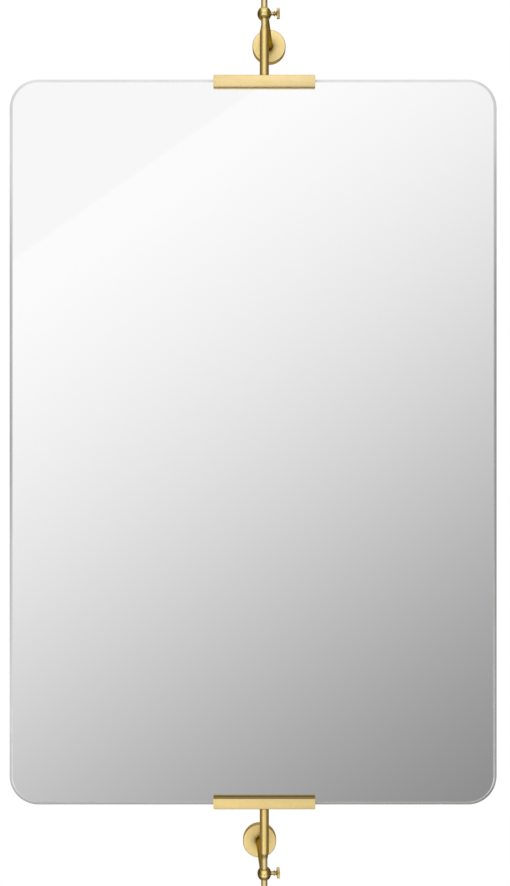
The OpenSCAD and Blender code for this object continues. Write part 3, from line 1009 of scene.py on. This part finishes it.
@dataclass
class SleeveAndRod(HalfAssembly):
    """A sleeve on its rod, with the finial on the rod's end."""

    bore: float = 4.05 * MM
    screw_hole: float = 2.05 * MM
    foot: float = 18 * MM  # solid length at the sleeve's base
    screw_depth: float = 14 * MM
    shoulder: float = 8 * MM
    mouth: float = 4.45 * MM
    break_edge: float = 0.3 * MM
    chamfer: float = 0.5 * MM  # at both ends of the rod
    steps: int = 14

    def make(self, kind: str, shape: str, outline: Outline, body: Body, **more: Any) -> None:
        """Turns a piece of brass round the pivot line and puts it in its node's stead.

        Args:
            kind: The node's name without the half's word.
            shape: The new piece's name without the half's word.
            outline: Its side view.
            body: The body that it moves with.
            more: Other values of the brass.
        """
        node = self.called(kind)
        brass = SatinBrass(at=self.axis(), **more).made(node)
        piece = self.shop.turned(self.called(shape), outline, self.place(node), brass)
        stand_for(piece, node, body)

    def sleeve(self) -> None:
        """Makes the sleeve, with a rounded shoulder and mouth."""
        radius, length = self.measure(self.called("sleeve"))
        edge = self.break_edge
        bell: Outline = []
        for step in range(self.steps + 1):
            share = (math.cos(math.pi * step / self.steps) + 1) / 2
            height = length - edge - (self.shoulder - edge) * step / self.steps
            bell.append((radius + (self.mouth - radius) * share, height))
        outline: Outline = [
            (0.0, self.foot), (self.bore, self.foot), (self.bore, length), (self.mouth - 0.15 * MM, length),
            *bell,
            *((radius, (length - self.shoulder) * share) for share in (0.75, 0.5, 0.25)),
            (radius, edge), (radius - edge, 0.0),
            (self.screw_hole, 0.0), (self.screw_hole, self.screw_depth), (0.0, self.screw_depth),
        ]
        self.make("sleeve", "pivot_sleeve", outline, Body.MIRROR)

    def rod(self) -> None:
        """Makes the rod."""
        radius, length = self.measure(self.called("rod"))
        chamfer = self.chamfer
        outline: Outline = [
            (0.0, 0.0), (radius - chamfer, 0.0), (radius, chamfer),
            *((radius, length * share) for share in (0.25, 0.5, 0.75)),
            (radius, length - chamfer), (radius - chamfer, length), (0.0, length),
        ]
        # painted light: a paler copy of the brass, with weaker painted shade where it meets other parts
        pale = {"light": (1.0, 0.84, 0.45), "deep": (0.97, 0.78, 0.38), "shelter": (0.10, 0.60)}
        self.make("rod", "pivot_rod", outline, Body.RODS, roughness=0.44, **pale)

    def finial(self) -> None:
        """Makes the finial: a collar, a neck, a ball and a small nub."""
        ball, length = self.measure(self.called("finial"))
        collar, collar_top = ball - 0.7 * MM, 2.4 * MM
        neck, neck_top = 4.75 * MM, 3.6 * MM
        nub, socket, edge = 1.6 * MM, 6 * MM, 0.4 * MM
        ball_z = neck_top + math.sqrt(ball**2 - neck**2)
        from_angle = -math.degrees(math.acos(neck / ball))
        to_angle = math.degrees(math.acos((nub + 0.3 * MM) / ball))
        outline: Outline = [
            (0.0, socket), (self.bore, socket), (self.bore, 0.2 * MM), (self.bore + 0.2 * MM, 0.0),
            *arc((collar - edge, edge), (edge, edge), -90, 0, 3),
            *arc((collar - edge, collar_top - edge), (edge, edge), 0, 90, 3),
            (neck + 0.25 * MM, collar_top), (neck, collar_top + 0.25 * MM),
            *arc((0.0, ball_z), (ball, ball), from_angle, to_angle, 26),
            (nub, ball_z + ball + 0.2 * MM),
            *arc((0.0, length - nub * 0.7), (nub, nub * 0.7), 20, 90, 5),
        ]
        outline[-1] = (0.0, length)
        self.make("finial", "ball_finial", outline, Body.RODS)

    def build(self) -> None:
        """Makes the sleeve, the rod and the finial, and dresses what is hidden between them."""
        self.sleeve()
        self.rod()
        self.finial()
        screw = self.called("sleeve_screw")
        dress(screw, PlainSteel(at=middle(screw)))
        if self.half is Half.BOTTOM:
            dress("thrust_washer", NaturalNylon(at=middle("thrust_washer")))


@dataclass
class WallBracket(HalfAssembly):
    """A ball on its arm, and the arm's plate on the wall."""

    edge: float = 0.15 * MM

    @property
    def plate_tones(self) -> dict[str, Colour]:
        """The plate's brass, with painted light: slightly deeper on the bottom plate; and the colour of the
        painted shadow round the arm's root.
        """
        top = {"light": (1.0, 0.79, 0.37), "deep": (0.95, 0.72, 0.30)}
        bottom = {"light": (1.0, 0.78, 0.345), "deep": (0.95, 0.705, 0.28)}
        return {"corner": (0.13, 0.094, 0.018), **self.half.pick(top, bottom)}

    def build(self) -> None:
        """Dresses the bracket's solids and makes its plate."""
        ball, arm = self.called("ball"), self.called("arm")
        along_arm = tuple((self.half.lean @ Matrix.Rotation(-math.pi / 2, 4, "X")).to_euler())
        # the ball: a paler brass, with painted shade on its flanks and dark painted shade in its corners
        dark = {"light": (0.99, 0.78, 0.33), "deep": (0.91, 0.68, 0.24), "corner": (0.11, 0.08, 0.018)}
        dress(ball, SatinBrass(at=self.axis(), reach=8 * MM, flank=5.8 * MM, roughness=0.25, **dark))
        # the arm: a much darker brass, with painted shade reaching 30 mm from the parts near it
        darker_arm = {"light": (0.50, 0.385, 0.12), "deep": (0.42, 0.31, 0.085), "corner": (0.10, 0.074, 0.012)}
        dress(arm, SatinBrass(at=middle(ball), turn=along_arm, reach=30 * MM, **darker_arm))
        node = self.called("wall_plate")
        plate = softened(node, self.called("rosette"), self.edge)
        # painted shadow round the arm's root: darker within 22 mm of the parts near the plate
        brass = {"roughness": 0.38, "reach": 22 * MM, "shelter": (0.58, 0.97), **self.plate_tones}
        plate.data.materials.append(SatinBrass(at=middle(node), turn=TO_WALL, **brass).made(node))
        stand_for(plate, node, Body.BRACKETS)
        for part in (self.called("wall_disc"), self.called("arm_bolt")):
            dress(part, PlainSteel(at=middle(part), turn=TO_WALL))
        self.plate_screw()

    def plate_screw(self) -> None:
        """Makes the grub screw in the plate's rim."""
        node = self.called("plate_screw")
        turn = (self.half.pick(0.0, math.pi), 0.0, 0.0)
        name = self.called("plate_grub_screw")
        piece = self.shop.grub_screws(name, [self.inner_end(node)], *self.measure(node), turn)
        stand_for(piece, node, Body.BRACKETS)


@dataclass
class ThumbScrew(HalfAssembly):
    """A thumb-screw with a knurled head, and its nylon pad. Heights count from the ball's centre."""

    tip: float = 6.25 * MM
    thread: float = 2.5 * MM
    pitch: float = 0.8 * MM
    thread_end: float = 8.5 * MM
    neck: float = 2.1 * MM
    bead_at: float = 12.6 * MM
    head_at: float = 15.9 * MM
    head: float = 6.5 * MM
    head_height: float = 3.2 * MM
    teeth: int = 36
    tooth: float = 0.42 * MM

    def outline(self) -> Outline:
        """Returns the screw's side view."""
        top, edge = self.head_at + self.head_height, 0.45 * MM
        dish = self.head - 1.9 * MM
        threads: Outline = []
        for turn in range(2):
            start = self.tip + 0.3 * MM + turn * self.pitch
            threads += [(self.thread, start), (self.thread - 0.35 * MM, start + self.pitch / 2)]
        return [
            (0.0, self.tip), (self.thread - 0.3 * MM, self.tip),
            *threads,
            (self.thread, self.thread_end - 0.4 * MM), (self.thread, self.thread_end),
            (self.neck, self.thread_end + 0.4 * MM),
            *arc((self.neck, self.bead_at), (1.1 * MM, 0.9 * MM), -90, 90, 10),
            *arc((self.neck + 2 * MM, self.head_at - 1.9 * MM), (2 * MM, 1.9 * MM), 180, 90, 6),
            *arc((self.head - edge, self.head_at + edge), (edge, edge), -90, 0, 4),
            *arc((self.head - edge, top - edge), (edge, edge), 0, 90, 4),
            (dish + 0.4 * MM, top), (dish, top - 0.35 * MM), (dish * 0.6, top - 0.30 * MM),
            (1.2 * MM, top - 0.12 * MM), (0.0, top - 0.10 * MM),
        ]

    def build(self) -> None:
        """Makes the thumb-screw and dresses its pad."""
        node, pad = self.called("thumb_screw"), self.called("clamp_pad")
        axis = self.axis()
        ball = Vector((axis.x, axis.y, middle(self.called("ball")).z))
        turn = self.half.lean @ Matrix.Rotation(math.pi / 2, 4, "Y")
        euler = tuple(turn.to_euler())
        # painted shade in its corners, within 9 mm of the parts near it
        brass = SatinBrass(at=ball, turn=euler, reach=9 * MM, corner=(0.14, 0.10, 0.02)).made(node)
        sizes = {
            "Segments": self.teeth * 4,
            "Knurl_Count": self.teeth,
            "Knurl_Depth": self.tooth,
            "Knurl_From": self.head - 0.3 * MM,
        }
        place = Matrix.Translation(ball) @ turn
        piece = self.shop.turned(self.called("knurled_thumb_screw"), self.outline(), place, brass, **sizes)
        stand_for(piece, node, self.half.pick(Body.TOP_THUMB, Body.BOTTOM_THUMB))
        dress(pad, NaturalNylon(at=middle(pad), turn=euler))


# ---------- studio ----------


@dataclass(frozen=True)
class SoftLamp:
    """A rectangular soft lamp."""

    name: str
    at: Point
    aim: Point
    width: float
    height: float
    radiance: float


@dataclass(frozen=True)
class WindowFall:
    """The slanting fall of light that the glass reflects, in slopes across and up from straight ahead."""

    slant: float = 0.72  # how far it leans
    centre: float = 0.139  # where it is half way down
    length: float = 0.50
    level: float = 0.629  # the brightness half way down
    swing: float = 0.50  # how far it rises above that and falls below it
    limit: float = 1.005
    corner: Span = (0.70, 0.3955)  # the slope and the height of the line above which a corner is darker
    corner_level: float = 0.965
    reach: Span = (0.295, 0.405)  # half the width and half the height of what the glass shows

    def add(self, graph: Graph, x: Socket, depth: Socket, z: Socket) -> tuple[Socket, Socket]:
        """Adds its nodes.

        Args:
            graph: The world's nodes.
            x: The direction's X.
            depth: The direction's distance to the front.
            z: The direction's Z.

        Returns:
            The brightness, and how much of it is taken.
        """
        safe = graph.math("MAXIMUM", depth, 0.2)
        across, up = graph.math("DIVIDE", x, safe), graph.math("DIVIDE", z, safe)
        down = graph.math("SUBTRACT", graph.times(across, self.slant), up)
        down = graph.math("DIVIDE", graph.math("SUBTRACT", down, self.centre), self.length)
        level = graph.line(graph.math("TANH", down), -self.swing, self.level)
        level = graph.math("MINIMUM", level, self.limit)
        above = graph.math("SUBTRACT", up, graph.line(across, *self.corner))
        level = graph.times(level, graph.ease(above, -0.004, 0.004, 1.0, self.corner_level))
        inside: Feed = graph.ease(depth, 0.5, 0.7)
        for slope, edge in zip((across, up), self.reach):
            inside = graph.times(inside, graph.ease(graph.size(slope), edge, edge + 0.05, 1.0, 0.0))
        return level, inside


@dataclass
class Studio:
    """The camera, the lights, what the metal and the glass reflect, and the floor."""

    camera_at: Point = (0.0, -1.2395, -0.5379)
    lens: float = 36.93
    side_shift: float = -0.0105
    floor_z: float = -2.04
    left_to_right: Stops = (
        (0.00, 0.15), (0.10, 0.20), (0.17, 0.35), (0.24, 0.64), (0.32, 0.92), (0.50, 1.00),
        (0.65, 0.90), (0.73, 0.64), (0.80, 0.31), (0.88, 0.17), (1.00, 0.14),
    )
    low_to_high: Stops = (
        (0.00, 0.12), (0.15, 0.15), (0.225, 0.48), (0.285, 1.00), (0.36, 0.80), (0.50, 0.54),
        (0.64, 0.62), (0.72, 0.69), (0.80, 0.60), (0.90, 0.46), (1.00, 0.42),
    )
    behind: Span = (0.48, 0.72)  # the brightness behind the glass, level and overhead
    warm_dark: Colour = (1.0, 0.80, 0.50)  # the tint of the studio's dark sides
    ambient: float = 0.62  # the soft light from straight ahead
    ambient_slope: Span = (-0.14, 0.28)  # how it changes to the right and upwards
    lamps: tuple[SoftLamp, ...] = (
        SoftLamp("key_lamp", (-0.35, -1.6, 1.45), (0.0, -0.1, -0.54), 1.8, 1.0, 0.8),
        SoftLamp("fill_lamp", (1.1, -1.5, 1.20), (0.0, -0.1, -0.54), 0.8, 0.8, 0.4),
    )

    def camera(self) -> None:
        """Sets the camera at the photograph's place."""
        data = bpy.data.cameras.new("photograph")
        data.lens, data.sensor_width, data.shift_x = self.lens, 36.0, self.side_shift
        made = linked("photograph", data)
        made.location = self.camera_at
        made.rotation_euler = (math.pi / 2, 0.0, 0.0)
        bpy.context.scene.camera = made

    def light(self) -> None:
        """Adds the soft lamps, which neither the camera nor the metal sees."""
        for lamp in self.lamps:
            data = bpy.data.lights.new(lamp.name, "AREA")
            data.shape, data.size, data.size_y = "RECTANGLE", lamp.width, lamp.height
            data.energy = lamp.radiance * math.pi * lamp.width * lamp.height
            made = linked(lamp.name, data)
            made.location = lamp.at
            away = Vector(lamp.at) - Vector(lamp.aim)
            made.rotation_euler = away.to_track_quat("Z", "Y").to_euler()
            made.visible_camera = made.visible_glossy = False

    def around(self, graph: Graph, x: Socket, depth: Socket, z: Socket) -> Feed:
        """Returns the brightness of the studio all round, given the parts of a direction."""
        sides = graph.curve(graph.line(x, 0.5, 0.5), self.left_to_right)
        rise = graph.curve(graph.line(z, 0.5, 0.5), self.low_to_high)
        behind = graph.ease(graph.size(z), 0.35, 0.80, *self.behind)
        behind = graph.times(behind, graph.ease(graph.size(x), 0.15, 0.60, 0.60, 1.0))
        ring = graph.between(graph.ease(depth, -0.35, 0.15), behind, 1.0)
        return graph.times(sides, rise, graph.times(ring, 2.0))

    def world(self) -> None:
        """Builds the world: white behind the object, and the studio that the metal and the glass reflect."""
        made = bpy.data.worlds.new("studio")
        made.use_nodes = True
        bpy.context.scene.world = made
        graph = Graph(made.node_tree)
        x, y, z = graph.split(graph.node("ShaderNodeTexCoord").outputs["Generated"])
        depth = graph.times(y, -1.0)
        front, inside = WindowFall().add(graph, x, depth, z)
        around = self.around(graph, x, depth, z)
        path = graph.node("ShaderNodeLightPath").outputs
        straight, glossy = path["Is Camera Ray"], path["Is Glossy Ray"]
        backdrop = graph.between(straight, graph.between(inside, around, front), 1.0)
        seen = graph.math("ADD", straight, glossy)
        seen = graph.math("ADD", seen, path["Is Transmission Ray"], clamp=True)
        to_right, upwards = self.ambient_slope
        ambient = graph.line(z, upwards, graph.line(x, to_right, self.ambient))
        beside = graph.times(graph.ease(depth, 0.0, 0.45, 1.0, 0.15), graph.math("SUBTRACT", 1.0, inside))
        warmth = graph.times(graph.ease(around, 0.20, 0.90, 1.0, 0.0), beside, glossy)
        feeds = {
            "Color": graph.blend(warmth, WHITE, self.warm_dark),
            "Strength": graph.between(seen, ambient, backdrop),
        }
        graph.node("ShaderNodeOutputWorld", {"Surface": graph.out("ShaderNodeBackground", feeds)})

    def floor(self) -> None:
        """Lays the floor."""
        mesh = bpy.data.meshes.new("floor")
        reach, near, far = 1.3, -1.8, 0.6
        corners = [(-reach, near), (reach, near), (reach, far), (-reach, far)]
        mesh.from_pydata([(x, y, self.floor_z) for x, y in corners], [], [(0, 1, 2, 3)])
        mesh.materials.append(PaleFloor(at=(0.0, (near + far) / 2, self.floor_z)).made("floor"))
        floor = linked("floor", mesh)
        floor.visible_glossy = False

    def build(self) -> None:
        """Sets up everything round the object."""
        self.camera()
        self.light()
        self.world()
        self.floor()
        bpy.context.scene.view_settings.view_transform = "Standard"
        LOG.info("studio: %d lamps", len(self.lamps))


def main() -> None:
    """Builds the sub-assemblies in order, and then the studio."""
    logging.basicConfig(level=logging.INFO, format="%(name)s: %(message)s")
    shop = Workshop()
    MirrorPane(shop).build()
    for half in Half:
        for assembly in (GlassClip, SleeveAndRod, WallBracket, ThumbScrew):
            assembly(shop, half).build()
    Studio().build()


if __name__ == "__main__":
    main()
